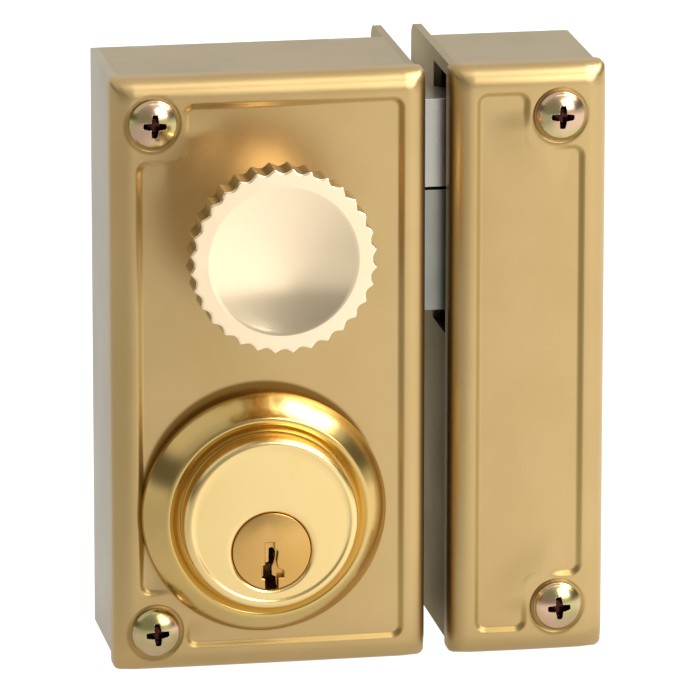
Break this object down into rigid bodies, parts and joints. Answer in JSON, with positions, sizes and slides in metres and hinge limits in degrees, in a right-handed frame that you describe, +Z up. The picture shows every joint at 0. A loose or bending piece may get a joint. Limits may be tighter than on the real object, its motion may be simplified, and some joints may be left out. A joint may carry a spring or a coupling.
{
  "type": "cylinder door lock",
  "caption": "Surface-mounted door lock with key cylinder and thumb knob, sprung latch and dead bolt, and a matching box keeper beside it.",
  "frame": {"origin": "middle of the lock case's back face, which lies on the door's inner face", "axes": "+X across the door towards the keeper, +Y into the door, +Z up"},
  "size_m": [0.0945, 0.072, 0.115],
  "materials": {
    "satin_gold": "satin gold lacquer on pressed steel",
    "plated_steel": "dull zinc plating on folded sheet",
    "yellow_zinc": "yellow-passivated zinc, slightly glossy",
    "polished_brass": "polished and lacquered",
    "cylinder_brass": "fine satin, lacquered",
    "plug_brass": "turned, slightly warmer",
    "knob_brass": "polished pale brass",
    "bush_brass": "as turned",
    "pin_brass": "as turned",
    "bolt_steel": "nickel-plated, brushed",
    "dark_steel": "oiled steel",
    "spring_steel": "drawn wire"
  },
  "bodies": {
    "lock_case": {"lock_cover": "satin_gold", "lock_case_shell": "plated_steel", "lock_top_wall": "plated_steel", "lock_bottom_wall": "plated_steel", "forend_plate": "plated_steel", "lock_cover_posts": "plated_steel", "lock_cover_screws": "yellow_zinc", "cylinder_rosette": "polished_brass", "cylinder_housing": "cylinder_brass", "driver_pins": "pin_brass", "pin_springs": "spring_steel", "chamber_caps": "cylinder_brass", "cylinder_pillars": "plated_steel", "cylinder_screws": "dark_steel", "knob_bush": "bush_brass", "bush_nut": "bush_brass", "spindle_rear_bush": "bush_brass", "latch_spring": "spring_steel", "spring_bracket": "plated_steel", "spring_rod": "dark_steel", "tail_guide_posts": "dark_steel", "keeper_cover": "satin_gold", "keeper_case_shell": "plated_steel", "keeper_top_wall": "plated_steel", "keeper_bottom_wall": "plated_steel", "strike_plate": "plated_steel", "keeper_cover_posts": "plated_steel", "keeper_cover_screws": "yellow_zinc"},
    "knob": {"knob": "knob_brass", "knob_grub_screw": "dark_steel", "knob_spindle": "dark_steel", "spindle_clip": "spring_steel", "knob_crank": "plated_steel", "crank_roll_pin": "dark_steel"},
    "latch": {"latch_bolt": "bolt_steel", "latch_tail": "plated_steel", "latch_rivets": "dark_steel"},
    "key_plug": {"cylinder_plug": "plug_brass", "key_pins": "pin_brass", "cylinder_crank": "plated_steel", "plug_clip": "spring_steel"},
    "dead_bolt": {"dead_bolt": "bolt_steel", "dead_bolt_tail": "plated_steel", "dead_bolt_rivets": "dark_steel"}
  },
  "joints": [
    {"name": "knob_turn", "type": "hinge", "parent": "lock_case", "child": "knob", "pos_m": [-0.0016, -0.0349, 0.028], "axis": [0, -1, 0], "range_deg": [0, 80]},
    {"name": "latch_slide", "type": "slide", "parent": "lock_case", "child": "latch", "axis": [-1, 0, 0], "range_m": [0, 0.01414], "stiffness_N_per_m": 350, "springref_m": -0.012, "deforming": ["latch_spring"]},
    {"name": "key_turn", "type": "hinge", "parent": "lock_case", "child": "key_plug", "pos_m": [-0.0016, -0.0349, -0.0317], "axis": [0, -1, 0], "range_deg": [0, 80]},
    {"name": "dead_bolt_slide", "type": "slide", "parent": "lock_case", "child": "dead_bolt", "axis": [-1, 0, 0], "range_m": [0, 0.01414]}
  ],
  "couplings": [
    {"joint": "knob_turn", "follows": "latch_slide", "rad_per_m": 98.736},
    {"joint": "key_turn", "follows": "dead_bolt_slide", "rad_per_m": 98.736}
  ]
}
